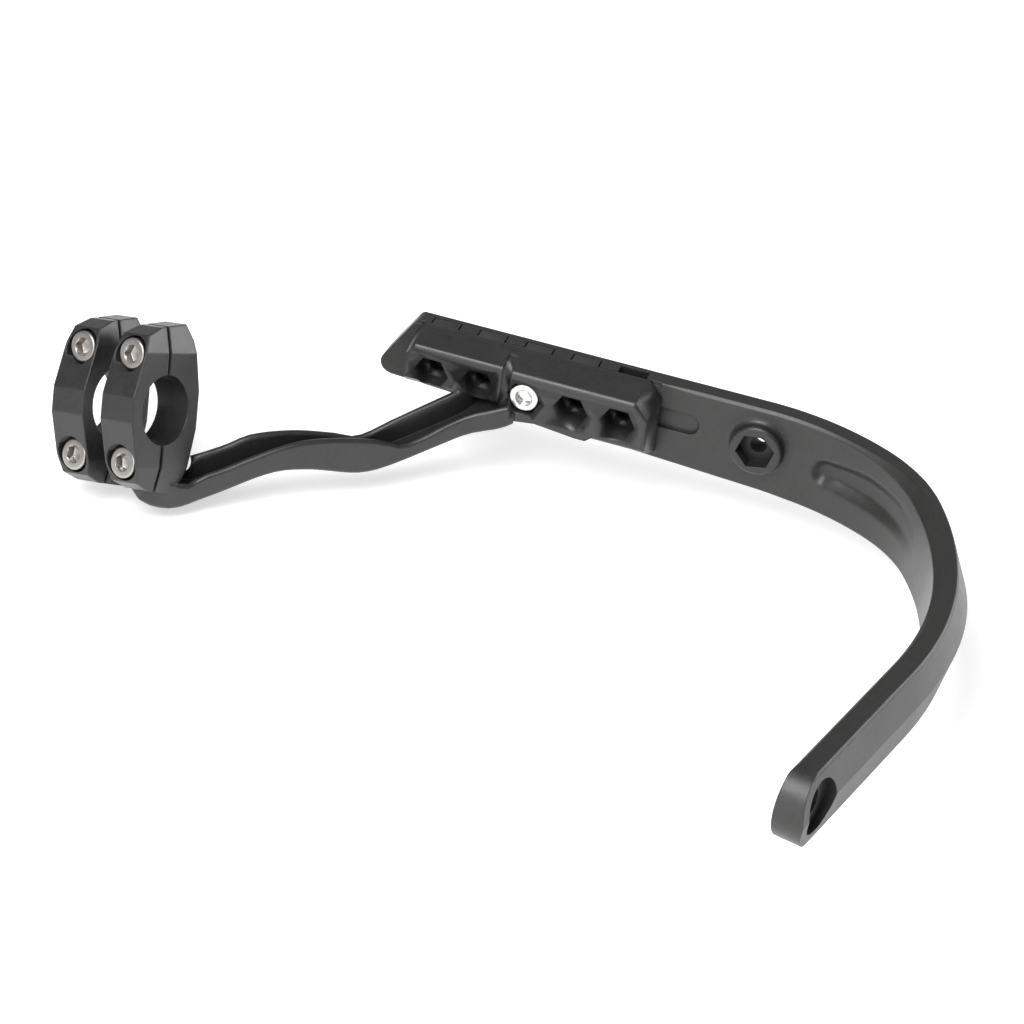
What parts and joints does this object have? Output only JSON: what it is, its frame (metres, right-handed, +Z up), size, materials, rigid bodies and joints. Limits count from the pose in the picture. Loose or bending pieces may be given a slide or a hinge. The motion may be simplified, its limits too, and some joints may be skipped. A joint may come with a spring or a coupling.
{
  "type": "motorcycle hand guard",
  "caption": "Right-hand motorcycle hand guard: a curved nylon guard bar on a channel-section arm with a split clamp for the handlebar and a toothed adjuster head.",
  "frame": {"origin": "on the handlebar's axis, midway between the two clamp rings", "axes": "+X outboard along the guard bar's straight leg, +Y forward away from the rider, +Z up"},
  "size_m": [0.2948, 0.2001, 0.0595],
  "materials": {
    "guard_nylon": "matt black glass-filled nylon with a fine grain",
    "arm_nylon": "satin black glass-filled nylon",
    "steel": "bright stainless steel",
    "nut_steel": "zinc-plated steel"
  },
  "bodies": {
    "root": {"guard_spar": "guard_nylon", "mount_arm": "arm_nylon", "clamp_cap_inner": "arm_nylon", "clamp_cap_outer": "arm_nylon", "clamp_screw_inner_top": "steel", "clamp_screw_inner_low": "steel", "clamp_screw_outer_top": "steel", "clamp_screw_outer_low": "steel", "clamp_nut_inner_top": "nut_steel", "clamp_nut_inner_low": "nut_steel", "clamp_nut_outer_top": "nut_steel", "clamp_nut_outer_low": "nut_steel", "adjuster_screw": "steel", "adjuster_washer": "steel", "adjuster_nut": "nut_steel"}
  },
  "joints": []
}
